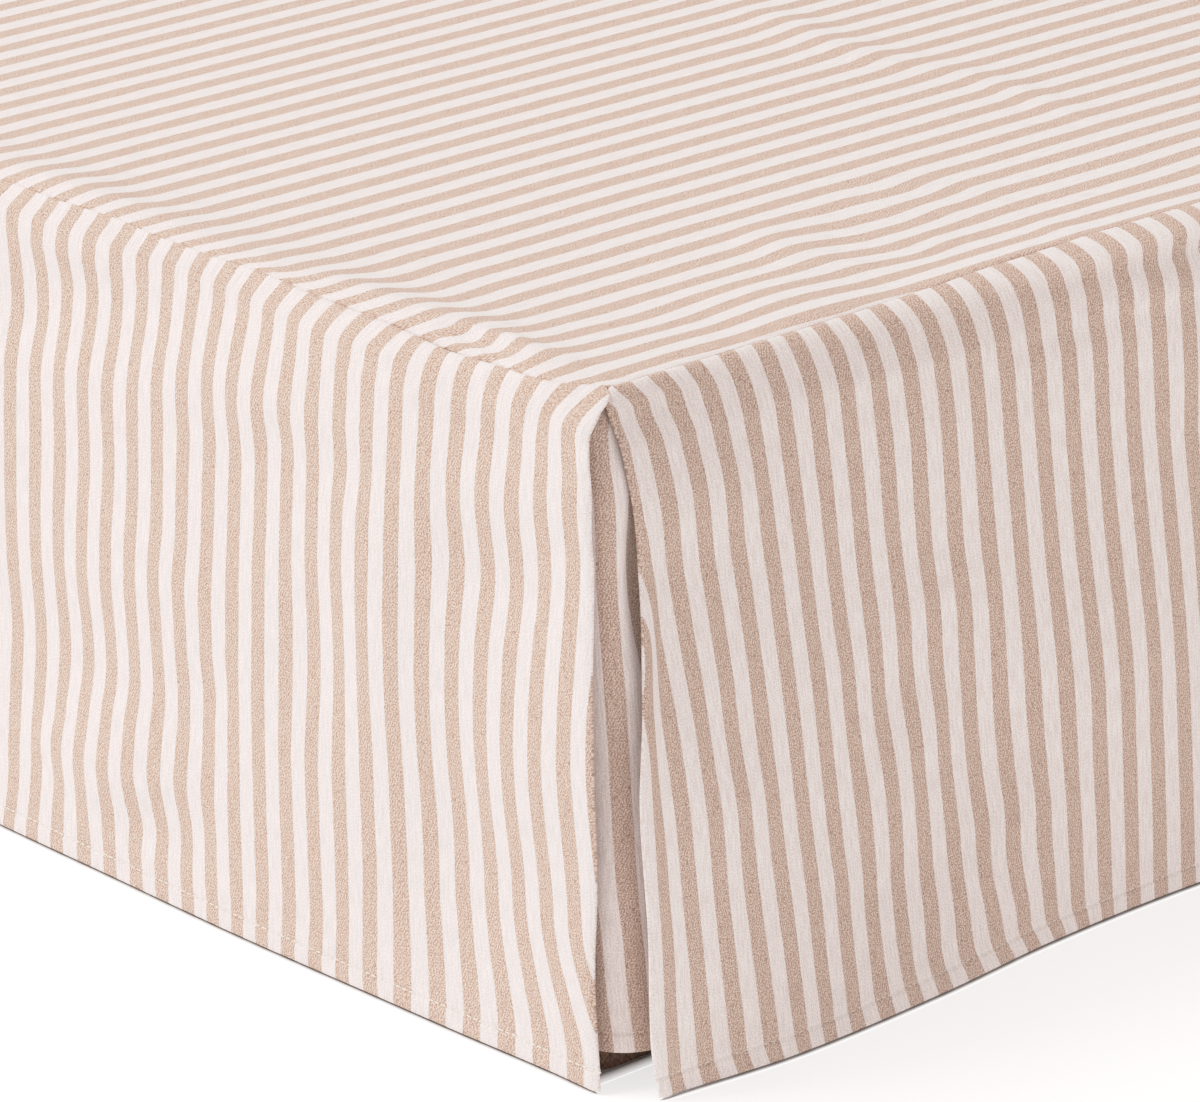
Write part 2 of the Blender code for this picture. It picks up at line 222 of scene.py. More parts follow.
# up: how far a seam stands above the deck's level
FOOT_SEAM_RISES = table("along up", [
    (22, 0.4), (45, -0.9), (68, -1.8), (95, -3.6), (123, -4.1), (150, -2.5), (190, -1.7), (215, -1.5),
    (250, 0.2), (275, -0.4), (305, -1.2), (340, -0.9), (366, 0.3), (400, -1), (425, -1.7), (700, -2),
    (1060, -3), (1460, -2), (1502, 0),
])
SIDE_SEAM_RISES = table("along up", [
    (28, 0), (200, 0), (280, 2), (360, 3), (460, 2), (640, 0), (820, 2), (1020, 0), (1230, 2), (1450, 0),
    (1690, 1), (2009, 0),
])
FAR_SIDE_SEAM_RISES = table("along up", [
    (28, 0), (130, 0), (300, 2), (520, 0), (760, 2), (980, 0), (1240, 1), (1480, 0), (1740, 2), (2009, 0),
])

# %% Single folds and hollows
FOLD_COLUMNS = "along down half_length half_height out"
FOOT_FOLDS = table(FOLD_COLUMNS, [
    (70, 95, 60, 40, -2), (150, 120, 45, 100, 2), (335, 280, 70, 50, 4), (400, 50, 130, 35, -3),
    (660, 300, 60, 70, 5), (820, 60, 90, 35, -4), (1000, 250, 60, 90, 4), (1150, 190, 70, 60, -4),
    (1320, 290, 60, 60, 5),
    # finer ones
    (280, 18, 90, 16, -2.5), (400, 26, 60, 18, 2.2), (165, 19, 45, 12, -2), (245, 59, 85, 34, 4.3),
    (175, 74, 35, 22, -2), (75, 68, 60, 40, 4), (20, 48, 45, 34, 3.5), (435, 68, 50, 28, -3),
    (365, 125, 80, 40, -2), (300, 167, 50, 26, 1.8), (190, 175, 45, 55, -2.9),
    (50, 205, 45, 50, 1.7), (358, 230, 85, 50, -5.2), (285, 238, 50, 40, -2.2),
    (310, 298, 62, 30, -4.5), (395, 283, 30, 18, 2), (318, 66, 42, 28, 2), (220, 74, 28, 18, -2),
    (22, 13, 24, 14, 3.5), (118, 75, 22, 45, 1.2), (335, 268, 60, 18, -1.8),
    (325, 308, 40, 14, -1.5), (445, 228, 40, 30, -1.4), (272, 215, 35, 22, -1.4),
])
SIDE_FOLDS = table(FOLD_COLUMNS, [
    (60, 195, 50, 60, 2), (205, 220, 80, 80, -4), (330, 200, 70, 60, 2), (540, 290, 60, 80, 6),
    (730, 210, 60, 90, -5), (930, 290, 60, 90, 6), (1120, 230, 80, 80, -5), (1340, 300, 60, 70, 6),
    (1580, 260, 80, 90, 5), (1850, 290, 70, 80, 6),
    # finer ones
    (50, 13, 45, 14, -4), (235, 15, 80, 14, -1.2), (95, 60, 30, 30, 1.6), (205, 200, 28, 32, 1.8),
    (310, 24, 75, 20, -2.6), (55, 55, 55, 35, 3), (215, 60, 50, 35, 1.5), (395, 60, 45, 45, 2.5),
    (155, 120, 45, 55, -1.6), (220, 118, 45, 28, -1.5), (300, 140, 75, 90, -0.8),
    (75, 178, 35, 35, -2.2), (187, 231, 55, 52, 6), (265, 230, 40, 50, -2),
])
FAR_SIDE_FOLDS = table(FOLD_COLUMNS, [
    (210, 290, 60, 80, 5), (420, 220, 70, 80, -5), (640, 300, 60, 80, 6), (880, 240, 80, 80, -4),
    (1110, 300, 60, 80, 6), (1360, 270, 60, 90, -4), (1600, 300, 70, 70, 6), (1880, 260, 60, 80, 5),
])

# %% Threads pulled sideways
# shift: how far the stripes are drawn along the drop, away from the corner, without any fold
FOOT_DRIFTS = table("along down half_length half_height shift", [
    (300, 338, 85, 32, -2.5), (405, 333, 45, 30, 2.5), (190, 338, 90, 32, 2.6), (155, 315, 35, 50, 2),
    (440, 318, 40, 25, -2), (20, 14, 34, 27, 6),
])
SIDE_DRIFTS = table("along down half_length half_height shift", [
    (165, 315, 90, 55, -5), (270, 349, 70, 26, 8.5), (120, 345, 50, 30, -1.5), (250, 290, 50, 30, -2.8),
    (205, 322, 45, 20, -2), (145, 332, 35, 22, -1.5), (60, 347, 70, 18, 3.5),
])
# shift: the same along a seam, where the needle drags one cloth against the other, by place along
FOOT_SEAM_PULL = table("along shift", [
    (5, 0), (35, -5.5), (55, -4), (75, -1.7), (105, -0.4), (120, -0.3), (135, -2.5), (150, -7), (180, -6.7),
    (215, -7.6), (240, -8.2), (275, -6.9), (315, -6.5), (355, -8.9), (395, -8), (435, -11), (460, -12),
    (700, -2), (1000, 4), (1500, 0),
])
SIDE_SEAM_PULL = table("along shift", [
    (28, -7), (50, -5.5), (90, -1.5), (125, 0.8), (190, -2.4), (250, 0), (300, 2.3), (340, 6), (370, 9),
    (400, 12), (520, 6), (900, -3), (1500, 3), (2009, 0),
])
# shift: how far the side drop's threads crowd at its free edge, by depth, dying out within reach of the edge
SIDE_EDGE_DRIFTS = table("down shift reach", [
    (60, 0, 14), (80, 3.5, 14), (93, 6.5, 14), (107, 12, 12), (120, 19, 11.5), (150, 11.5, 13),
    (178, 12, 15), (212, 8.5, 22), (235, 6.6, 22), (262, 5.4, 24), (300, 4, 20), (338, 3, 20),
])
FOOT_PULL_DEPTH, SIDE_PULL_DEPTH = 0.016, 0.011  # how far below its seam a pull dies out
# by a foot corner the foot drop's stripes swing towards it, over the last part of the way down
FOOT_CORNER_DRIFT, FOOT_CORNER_REACH, FOOT_CORNER_FROM, FOOT_CORNER_OVER = 0.020, 0.130, 0.258, 0.073
print(len(FOOT_DRIFTS) + len(SIDE_DRIFTS), "places where threads are pulled sideways")


def soft_bump(size, place, along, down):
    """A bump of one size at a place in a table, fading to 0 over its two half sizes."""
    beside = bell((along / MM - place.along) / place.half_length)
    return size * beside * bell((down / MM - place.down) / place.half_height)


def drift_along(drifts, pulls, pull_depth, along, down):
    """How far the threads are drawn away from the corner at one place."""
    pulled = row_at(pulls, along).shift * (1 - smooth(down / pull_depth))
    return sum((soft_bump(MM * drift.shift, drift, along, down) for drift in drifts), pulled)


# %% Edges of the split corners
# along: the free edge from the corner, by depth, under 0 where it reaches past it
FOOT_SPLIT_EDGE = table("down along", [
    (0, 21.5), (1, 16.5), (2.5, 14.4), (4.5, 13.4), (7, 13.4), (11, 12.4), (18, 12.6), (23, 11.6), (30, 9),
    (45, 5.5), (70, 5.5), (115, 1.5), (165, -4.8), (215, -4.8), (240, -3), (283, -1), (338, -6),
])
SIDE_SPLIT_EDGE = table("down along", [
    (0, 29), (1, 26.8), (2, 24.8), (4.5, 22.3), (7, 21.8), (11, 22), (20, 23.5), (65, 26.5), (100, 25.5),
    (150, 18), (195, 11), (255, 12), (310, 12), (338, 16),
])
SPLIT_REACH = 0.080  # how far from the corner a drop's columns still lean with its free edge

# %% The surface of a drop
def down_curve(depths, outs, down):
    """A smooth curve through the distances out at a few depths, each of which changes along the cloth."""
    peaks = np.eye(len(depths))
    return sum(out * curve_through(depths, peak, down) for out, peak in zip(outs, peaks))


def drop_section(drop, along, share):
    """(out, down) of a drop. share: 0 at the seam, SHOULDER_SHARE where the shoulder ends, 1 at the hem."""
    row, seam_up = row_at(drop.sections, along), row_at(drop.seam_rises, along).up
    turn = np.pi / 2 * np.clip(share / SHOULDER_SHARE, 0, 1)
    fullness = row.fullness / (100 * MM)
    reach = fullness * np.sin(turn) + (1 - fullness) * (1 - np.cos(turn))
    shoulder_out = -row.inset + SEAM_GAP / 2 + (row.inset + row.brow) * reach
    shoulder_down = -seam_up + (BROW + seam_up) * (1 - np.cos(turn))
    low_down = BROW + (HEM - BROW) * np.clip((share - SHOULDER_SHARE) / (1 - SHOULDER_SHARE), 0, 1)
    levels = (BROW, CHEST, WAIST, SKIRT, HEM)
    low_out = down_curve(levels, (row.brow, row.chest, row.waist, row.skirt, row.hem), low_down)
    high = share < SHOULDER_SHARE
    out, down = np.where(high, shoulder_out, low_out), np.where(high, shoulder_down, low_down)
    folds_out = MM * sum(soft_bump(fold.out, fold, along, down) for fold in drop.folds)
    return out + folds_out * smooth(share / SHOULDER_SHARE), down


def beside_split(drop, nominal, down):
    """The place along a drop, moved so that its last threads follow the free edge of the split."""
    shift = row_at(drop.split_edge, down).along
    along = nominal + shift * (1 - smooth(nominal / SPLIT_REACH))
    far = shift * (1 - smooth((drop.length - nominal) / SPLIT_REACH))
    return along - far if drop.both_ends else along


# %% [markdown]
# ## Seams, hems and turned edges
# Where two cloths are sewn, both turn down into the seam, so a fine valley runs along it. A hem is the
# cloth's own edge, turned up double and stitched: a flat band that stands a little proud, with a shallow
# dent along the stitches. The free edges of a split are turned in the same way, and roll inwards a little.
# All of these are small offsets of the cloth's surface, so they follow every fold. Thread pulls cloth
# unevenly, so seams and hems vary along a random line with a fixed seed.

# %% Relief of seams and hems
SEAM_DIP, SEAM_REACH, SEAM_UNEVEN, SEAM_PULL_LENGTH = 0.0007, 0.0028, 0.35, 0.011
BAND_UP, BAND_STEP_BELOW, BAND_STEP = 0.00035, 0.0010, 0.0012
DENT, DENT_REACH = 0.00040, 0.0016
PUCKER, PUCKER_LENGTH, PUCKER_REACH = 0.00030, 0.007, 0.012
ROLL, ROLL_REACH = 0.0012, 0.0045


def seam_valley(from_seam, along, seed):
    """How far the cloth dips towards its seam."""
    pull = 1 + SEAM_UNEVEN * uneven(along, SEAM_PULL_LENGTH, seed)
    return SEAM_DIP * pull * np.clip(1 - from_seam / SEAM_REACH, 0, 1) ** 2


def hem_relief(above_hem, along, seed):
    """The proud band of a hem, the dent along its stitches and the small puckers beside them."""
    above_stitches = above_hem - HEM_BAND
    band = BAND_UP * (1 - smooth((above_stitches + BAND_STEP_BELOW) / BAND_STEP))
    dent = DENT * bell(above_stitches / DENT_REACH)
    pucker = PUCKER * uneven(along, PUCKER_LENGTH, seed) * bell(above_stitches / PUCKER_REACH)
    return band - dent + pucker


def edge_roll(from_edge):
    """How far a turned free edge rolls inwards."""
    return ROLL * np.clip(1 - from_edge / ROLL_REACH, 0, 1) ** 2


# %% [markdown]
# ## Building a sheet of cloth
# A sheet could be a flat grid with a Solidify modifier. Here both faces are written out instead, because
# the cloth is thicker where it is turned up double, and because its rim should be round. Each point also
# gets its place in the weave, as a UV map in metres: across the stripes and along them. Stripes and threads
# then bend with the folds, as in real cloth.

# %% Sheets
RIM_OUT = 0.8  # how far the rounded rim stands out, as a share of half the cloth's thickness


def unit(vectors):
    """The same directions with a length of 1."""
    return vectors / np.maximum(np.linalg.norm(vectors, axis=-1, keepdims=True), 1e-12)


def grid_normals(points):
    """Unit normals of a grid of points, from its two directions."""
    return unit(np.cross(np.gradient(points, axis=1), np.gradient(points, axis=0)))


def border_of(rows, columns):
    """Indices of the grid's border points, in order round it."""
    index = np.arange(rows * columns).reshape(rows, columns)
    return np.concatenate([index[0, :-1], index[:-1, -1], index[-1, :0:-1], index[:0:-1, 0]])


def rounded_rim(front, back, facing, half, inside):
    """Loops of points round a sheet's edge, between its front and its back."""
    middle = (front + back) / 2
    tangent = np.roll(middle, -1, axis=0) - np.roll(middle, 1, axis=0)
    rim_out = unit(np.cross(facing, tangent))
    if np.sum((middle - inside) * rim_out) < 0:
        rim_out = -rim_out
    turns = (math.pi / 4, math.pi / 2, 3 * math.pi / 4)
    return [middle + facing * half * math.cos(t) + rim_out * half * math.sin(t) * RIM_OUT for t in turns]


def grid_quads(rows, columns):
    """The quads between a grid's points."""
    index = np.arange(rows * columns).reshape(rows, columns)
    corners = together(index[:-1, :-1], index[1:, :-1], index[1:, 1:], index[:-1, 1:])
    return corners.reshape(-1, 4)


def sheet_faces(rows, columns, border, rim_loops):
    """The quads of a sheet's front, of its back and of the strips round its rim."""
    count, around, quads = rows * columns, len(border), grid_quads(rows, columns)
    rims = [2 * count + around * k + np.arange(around) for k in range(rim_loops)]
    loops = [border, *rims, border + count]
    strips = [together(a, np.roll(a, -1), np.roll(b, -1), b) for a, b in zip(loops, loops[1:])]
    return np.concatenate([quads[:, ::-1], quads + count, *strips])


def added(name, data):
    """A new object in the scene."""
    thing = bpy.data.objects.new(name, data)
    bpy.context.scene.collection.objects.link(thing)
    return thing


def cloth_sheet(name, points, threads, thickness, outward):
    """A closed sheet behind a grid of points, with a rounded rim and its weave as a UV map."""
    rows, columns = points.shape[:2]
    normal = grid_normals(points)
    if np.sum(normal @ np.array(outward, float)) < 0:
        points, threads, thickness = points[:, ::-1], threads[:, ::-1], thickness[:, ::-1]
        normal = grid_normals(points)
    front, flat = points.reshape(-1, 3), threads.reshape(-1, 2)
    back = (points - normal * thickness[..., None]).reshape(-1, 3)
    border = border_of(rows, columns)
    facing, half = normal.reshape(-1, 3)[border], thickness.reshape(-1)[border][:, None] / 2
    rims = rounded_rim(front[border], back[border], facing, half, front.mean(axis=0))
    weave = np.concatenate([flat, flat, *[flat[border]] * len(rims)])
    faces = sheet_faces(rows, columns, border, len(rims))
    mesh = bpy.data.meshes.new(name)
    mesh.from_pydata(np.concatenate([front, back, *rims]).tolist(), [], faces.tolist())
    layer = mesh.uv_layers.new(name="threads")
    layer.data.foreach_set("uv", weave[faces.ravel()].astype(np.float32).ravel())
    point_outwards(mesh)
    mesh.shade_smooth()
    print(f"{name}: {columns} x {rows} points, {2 * len(faces)} triangles")
    return added(name, mesh)


def point_outwards(mesh):
    """Turns every face of a closed mesh outwards."""
    bm = bmesh.new()
    bm.from_mesh(mesh)
    bmesh.ops.recalc_face_normals(bm, faces=bm.faces)
    bm.to_mesh(mesh)
    bm.free()


def run_lengths(points):
    """The length from the first point of a line, or of each column of a grid, to every point."""
    steps = np.linalg.norm(np.diff(points, axis=0), axis=-1)
    return np.concatenate([np.zeros_like(steps[:1]), np.cumsum(steps, axis=0)])


# %% [markdown]
# ## The drops
# Each drop is one grid. Its rows are close together round the shoulder and at the hem, where the shape is
# finest, and its columns near the split corner, where they follow the free edge. The stripes lean a
# little, because the cloth was not cut quite true, and drift where the tables pull the threads. A
# stripe's place is reckoned from the corner, so one number for the first stripe settles all the others.

# %% Rows and columns
# the rows are closest between these two heights above a hem, round its stitches
STITCH_TOP, STITCH_LOW = 0.014, 0.006
STITCH_ROW, LAST_ROW = 0.0009, 0.0020
SHOULDER_ROWS, SHOULDER_CROWDING = 30, 1.25


def hanging_rows(top, hem, spacing):
    """Depths from the top down to a hem."""
    above, below = hem - STITCH_TOP, hem - STITCH_LOW
    return places((top, above, spacing), (above, below, STITCH_ROW), (below, hem, LAST_ROW))


def drop_rows():
    """Shares down a drop: fine steps over the shoulder, and again in the hem."""
    shoulder = np.linspace(0, 1, SHOULDER_ROWS) ** SHOULDER_CROWDING * SHOULDER_SHARE
    hanging = hanging_rows(BROW, HEM, 0.0050)
    return np.append(shoulder, SHOULDER_SHARE + (1 - SHOULDER_SHARE) * (hanging[1:] - BROW) / (HEM - BROW))


CORNER_STEPS = ((0, 0.006, 0.0010), (0.006, 0.014, 0.0020))
foot_columns = places(*CORNER_STEPS, (0.014, 0.500, 0.0042), (0.500, 1.510, 0.0070))
far_corner = places((0, 0.006, 0.0015), (0.006, 0.014, 0.0040))[::-1]
foot_columns = np.append(foot_columns, 2 * SIDE_PLANE - far_corner)
side_columns = places(*CORNER_STEPS, (0.014, 0.480, 0.0042), (0.480, 2.000, 0.0078), (2.000, 2.009, 0.0015))
print(len(drop_rows()), "rows,", len(foot_columns), "and", len(side_columns), "columns")

# %% Any drop
Drop = namedtuple("Drop", "sections seam_rises folds split_edge both_ends columns length seed")


def drop_cloth(drop, stripes, place):
    """A drop's points, threads and thickness. stripes and place say where its threads and its points lie."""
    nominal, share = np.meshgrid(drop.columns, drop_rows())
    _, down = drop_section(drop, nominal, share)
    along = beside_split(drop, nominal, down)
    out, down = drop_section(drop, along, share)
    from_edge = np.minimum(nominal, drop.length - nominal)
    from_seam = run_lengths(together(along, out, down))
    out += hem_relief(HEM - down, along, drop.seed) - edge_roll(from_edge)
    down += seam_valley(from_seam, along, drop.seed + 1)
    threads = together(stripes(nominal, along, down), from_seam)
    turned = np.minimum(from_edge, HEM - down) < HEM_BAND
    return together(*place(along, out, down)), threads, np.where(turned, HEM_CLOTH, CLOTH)


# %% Foot drop
FOOT_LEAN, FOOT_FIRST_STRIPE = 0.035, 0.0244
FOOT_DROP = Drop(
    FOOT_SECTIONS, FOOT_SEAM_RISES, FOOT_FOLDS, FOOT_SPLIT_EDGE, True, foot_columns, 2 * SIDE_PLANE, 11
)


def foot_stripes(nominal, along, down):
    drift = drift_along(FOOT_DRIFTS, FOOT_SEAM_PULL, FOOT_PULL_DEPTH, along, down)
    for from_corner in (along, FOOT_DROP.length - along):
        near = np.clip(1 - from_corner / FOOT_CORNER_REACH, 0, None)
        drift -= FOOT_CORNER_DRIFT * near * smooth((down - FOOT_CORNER_FROM) / FOOT_CORNER_OVER)
    return FOOT_FIRST_STRIPE - along - FOOT_LEAN * down + drift


def foot_place(along, out, down):
    return SIDE_PLANE - along, -FOOT_PLANE - out, DECK_HEIGHT - down


foot = drop_cloth(FOOT_DROP, foot_stripes, foot_place)
print("foot drop:", foot[2].size, "points in front")

# %% Side drops
SIDE_LEAN, SIDE_FIRST_STRIPE = 0.069, 0.036
SIDE_LENGTH = FOOT_PLANE + HEAD_EDGE
RIGHT_DROP = Drop(
    SIDE_SECTIONS, SIDE_SEAM_RISES, SIDE_FOLDS, SIDE_SPLIT_EDGE, False, side_columns, SIDE_LENGTH, 21
)
LEFT_DROP = RIGHT_DROP._replace(
    sections=FAR_SIDE_SECTIONS, seam_rises=FAR_SIDE_SEAM_RISES, folds=FAR_SIDE_FOLDS
)


def side_stripes(nominal, along, down):
    drift = drift_along(SIDE_DRIFTS, SIDE_SEAM_PULL, SIDE_PULL_DEPTH, along, down)
    crowd = row_at(SIDE_EDGE_DRIFTS, down)
    drift += crowd.shift * (1 - smooth(nominal / crowd.reach))
    return along - SIDE_FIRST_STRIPE - SIDE_LEAN * down - drift


def right_place(along, out, down):
    return SIDE_PLANE + out, along - FOOT_PLANE, DECK_HEIGHT - down


def left_place(along, out, down):
    return -SIDE_PLANE - out, along - FOOT_PLANE, DECK_HEIGHT - down


right_side = drop_cloth(RIGHT_DROP, side_stripes, right_place)
left_side = drop_cloth(LEFT_DROP, side_stripes, left_place)
print("each side drop:", right_side[2].size, "points in front")

# %% [markdown]
# ## The deck panel
# The deck lies on the base, so it is nearly flat: a low roll along the foot seam and a few soft rises, some
# of them turned towards the corner. As in the drops, its threads are pulled sideways in places and along
# the foot seam. Its rows and columns are close together along the seams, where it turns down.

# %% Deck tables
# across and along: from the foot corner. turn: degrees that a rise's own two lengths are turned from them
DECK_RISES = table("across along half_width half_length turn up", [
    (150, 28, 95, 28, 0, 2.9), (395, 30, 85, 26, 0, 1.5), (80, 50, 45, 50, 0, 1.5),
    (190, 64, 85, 24, 0, -0.4), (45, 75, 40, 60, 0, 1.5), (45, 170, 50, 60, 0, 2.4),
    (110, 228, 55, 24, 20, 1.9), (100, 275, 62, 30, 25, -0.7), (20, 300, 35, 90, 0, 2.6),
    (215, 495, 85, 18, 6, 1.5), (325, 482, 90, 22, -6, 2.3), (380, 493, 55, 20, 0, 1.8),
    (332, 459, 30, 16, 0, 0.7), (37, 390, 30, 70, 0, 1.3), (86, 30, 30, 11, 0, 2.3),
    (64, 36, 16, 12, 0, 0.8), (106, 23, 38, 8, 0, -4.2), (205, 29, 38, 15, 0, 1.2),
    (76, 165, 38, 65, 0, 1.4), (70, 230, 32, 18, 0, 0.9), (122, 45, 22, 25, 0, 1.1),
    (40, 345, 25, 18, 0, 1.0), (375, 42, 40, 13, 0, -0.8),
])
FOOT_ROLL, FOOT_ROLL_MIDDLE, FOOT_ROLL_HALF_WIDTH, FOOT_ROLL_FADE = 0.0017, 0.011, 0.032, 0.050
DECK_DRIFTS = table("across along half_width half_length turn shift", [
    (12, 115, 62, 190, 0, 8), (42, 30, 50, 40, 0, 4), (190, 64, 85, 24, 0, -1.5),
    (230, 125, 170, 95, 0, -1.7), (100, 275, 62, 30, 25, -5.0), (97, 303, 38, 25, 20, -5.7),
    (135, 325, 45, 30, 25, -4.2), (112, 343, 35, 24, 0, -3.3), (62, 272, 25, 25, 0, -3.1),
    (85, 323, 24, 16, 0, -2.0), (70, 345, 40, 80, 0, -2.0), (70, 430, 60, 70, 0, -2.4),
    (15, 66, 28, 34, 0, 3.5), (14, 212, 26, 36, 0, 3),
])
DECK_SEAM_PULL = table("along shift", [
    (22, 5.5), (45, 6), (70, 7), (84, 11), (97, 15), (120, 14.5), (142, 12.5), (190, 14), (225, 14),
    (262, 12), (285, 10), (305, 9.8), (342, 7.5), (362, 6.1), (400, 5.7), (440, 7), (520, 4), (620, 0),
    (1500, 0),
])
SEAM_ROUND = 0.013  # how far from a seam the deck starts to turn down
DECK_FIRST_STRIPE = 0.0268


def turned_bell(across, along, place):
    """1 at the middle of a rise or a pull, fading to 0 over its two lengths."""
    c, s = np.cos(np.radians(place.turn)), np.sin(np.radians(place.turn))
    u, v = across - place.across, along - place.along
    return bell((u * c + v * s) / place.half_width) * bell((v * c - u * s) / place.half_length)


print(len(DECK_RISES), "rises and", len(DECK_DRIFTS), "pulls in the deck")

# %% Deck panel
def deck_grid():
    """Shares across, 1 at the right seam and -1 at the left, and shares from the foot to the head."""
    half = SIDE_PLANE - MM * FOOT_SECTIONS[0].along
    seam_steps = ((0, 0.0036, 0.0006), (0.0036, 0.012, 0.0028))
    left_seam = 2 * half - places(*seam_steps)[::-1]
    columns = places(*seam_steps, (0.012, 0.540, 0.0058), (0.540, 2 * half - 0.012, 0.0110))
    shares = 1 - np.append(columns[:-1], left_seam) / half
    behind = places(seam_steps[0], (0.0036, 0.034, 0.0021), (0.034, 0.540, 0.0058), (0.540, 1.960, 0.0125))
    share, from_foot = np.meshgrid(shares, behind)
    return half, share, from_foot / behind[-1]


def deck_cloth():
    half, share, share_back = deck_grid()
    along_foot = SIDE_PLANE - share * half
    seam_y = -FOOT_PLANE + row_at(FOOT_SECTIONS, along_foot).inset + SEAM_GAP / 2
    y = seam_y + share_back * (HEAD_EDGE - seam_y)
    from_foot = y + FOOT_PLANE
    is_right = share > 0
    right, left = row_at(SIDE_SECTIONS, from_foot), row_at(FAR_SIDE_SECTIONS, from_foot)
    half_width = SIDE_PLANE - np.where(is_right, right.inset, left.inset) - SEAM_GAP / 2
    x = share * half_width
    from_side = half_width - abs(x)
    across, along = (SIDE_PLANE - x) / MM, from_foot / MM
    roll = FOOT_ROLL * smooth(from_side / FOOT_ROLL_FADE)
    roll *= bell((y - seam_y - FOOT_ROLL_MIDDLE) / FOOT_ROLL_HALF_WIDTH)
    up = roll + sum(MM * rise.up * turned_bell(across, along, rise) for rise in DECK_RISES)
    near_foot, near_side = (np.clip(1 - d / SEAM_ROUND, 0, 1) ** 2 for d in (y - seam_y, from_side))
    foot_rise = row_at(FOOT_SEAM_RISES, along_foot).up
    right_rise, left_rise = (row_at(rises, from_foot).up for rises in (SIDE_SEAM_RISES, FAR_SIDE_SEAM_RISES))
    z = DECK_HEIGHT + up * (1 - near_foot) * (1 - near_side) + foot_rise * near_foot
    z += np.where(is_right, right_rise, left_rise) * near_side * (1 - near_foot)
    z -= seam_valley(y - seam_y, x, seed=31) + seam_valley(from_side, y, seed=32)
    drift = sum(MM * pull.shift * turned_bell(across, along, pull) for pull in DECK_DRIFTS)
    drift += row_at(DECK_SEAM_PULL, SIDE_PLANE - x).shift * near_foot
    threads = together(x - SIDE_PLANE + DECK_FIRST_STRIPE + drift, y)
    return together(x, y, z), threads, np.full(x.shape, CLOTH)


# %% [markdown]
# ## The corner pleats
# A pleat panel hangs behind each split: flat behind the foot drop, round the corner of the base, and flat
# behind the side drop. It is a little shorter than the drops, so that it never shows under them. It leans
# in over the edge of the base at the top, one soft fold runs down beside its corner, and its threads
# drift sideways with depth.

# %% Pleat tables
# side and foot: how far its two flats stand outside the drops' planes. radius: of the corner between them
PLEAT_SECTIONS = table("down side foot radius", [
    (2.5, -22.6, -24, 4),
    (6, -19.8, -18.6, 7),
    (20, -14, -10, 11),
    (50, -4.7, -7, 16),
    (90, -2, -5.5, 20),
    (140, 5, -3, 22),
    (190, 9, -2.5, 25),
    (250, 11, -4, 27),
    (324, 12, -6, 28),
])
PLEAT_REACH, PLEAT_COLUMNS = 0.110, 76
# shift: how far the threads lie to the side, by depth
PLEAT_DRIFTS = table("down shift", [
    (15, -1), (40, -3), (100, -2), (163, -1.1), (190, -0.6), (219, -0.1), (240, 0.6), (269, 3), (298, 4.8),
    (321, 7.3),
])
# a soft fold beside the corner. draw: how far its threads are drawn, from draw_from on over draw_over
(PLEAT_FOLD,) = table("across down half_width half_height depth draw draw_from draw_over", [
    (19, 88, 10, 55, 4, 4, 6, 8),
])

# %% Corner pleat
def pleat_cloth(mirrored):
    top, hem = MM * PLEAT_SECTIONS[0].down, DECK_HEIGHT - PLEAT_HEM_HEIGHT
    share, down = np.meshgrid(np.linspace(0, 1, PLEAT_COLUMNS), hanging_rows(top, hem, 0.0042))
    row = row_at(PLEAT_SECTIONS, down)
    turn_length = row.radius * np.pi / 2
    flat = PLEAT_REACH - row.radius
    walked = (2 * flat + turn_length) * share
    across = walked - flat - turn_length / 2
    beside = bell((across / MM - PLEAT_FOLD.across) / PLEAT_FOLD.half_width)
    folded = MM * bell((down / MM - PLEAT_FOLD.down) / PLEAT_FOLD.half_height)
    out = hem_relief(hem - down, walked, seed=41) - PLEAT_FOLD.depth * beside * folded
    angle = np.clip((walked - flat) / row.radius, 0, np.pi / 2) - np.pi / 2
    centre_x, centre_y = SIDE_PLANE + row.side - row.radius, -FOOT_PLANE - row.foot + row.radius
    x = centre_x + (row.radius + out) * np.cos(angle) - np.clip(flat - walked, 0, None)
    y = centre_y + (row.radius + out) * np.sin(angle) + np.clip(walked - flat - turn_length, 0, None)
    points = together(-x if mirrored else x, y, DECK_HEIGHT - down)
    drawn = PLEAT_FOLD.draw * smooth((across / MM - PLEAT_FOLD.draw_from) / PLEAT_FOLD.draw_over) * folded
    threads = together(across - row_at(PLEAT_DRIFTS, down).shift + drawn, down)
    turned = hem - down < HEM_BAND
    return points, threads, np.where(turned, HEM_CLOTH, CLOTH)


# %% [markdown]
# ## The cotton
# The cloth is a striped cotton ticking: tan stripes in a twill weave of mixed yarns, and plain white
# stripes between them. An image could be printed on it, but a pattern worked out from the weave's own
# coordinates stays sharp at any distance and bends with the cloth. The stripes' edges waver a little, where
# one yarn ends and the next begins, and the tan holds darker slubs.

# %% Shader helpers
def fill(tree, node, wires):
    """Gives a node's inputs their values, with a link for each one that comes from another node."""
    for key, value in wires.items():
        if isinstance(value, bpy.types.NodeSocket):
            tree.links.new(value, node.inputs[key])
        else:
            node.inputs[key].default_value = value


def wired(tree, kind, wires, **settings):
    """Adds a node with its settings and its inputs."""
    node = tree.nodes.new(kind)
    for key, value in settings.items():
        setattr(node, key, value)
    fill(tree, node, wires)
    return node


def sum_of(tree, operation, first, second=0.0, third=0.0):
    """One step of arithmetic on shader values."""
    return wired(tree, "ShaderNodeMath", {0: first, 1: second, 2: third}, operation=operation).outputs[0]


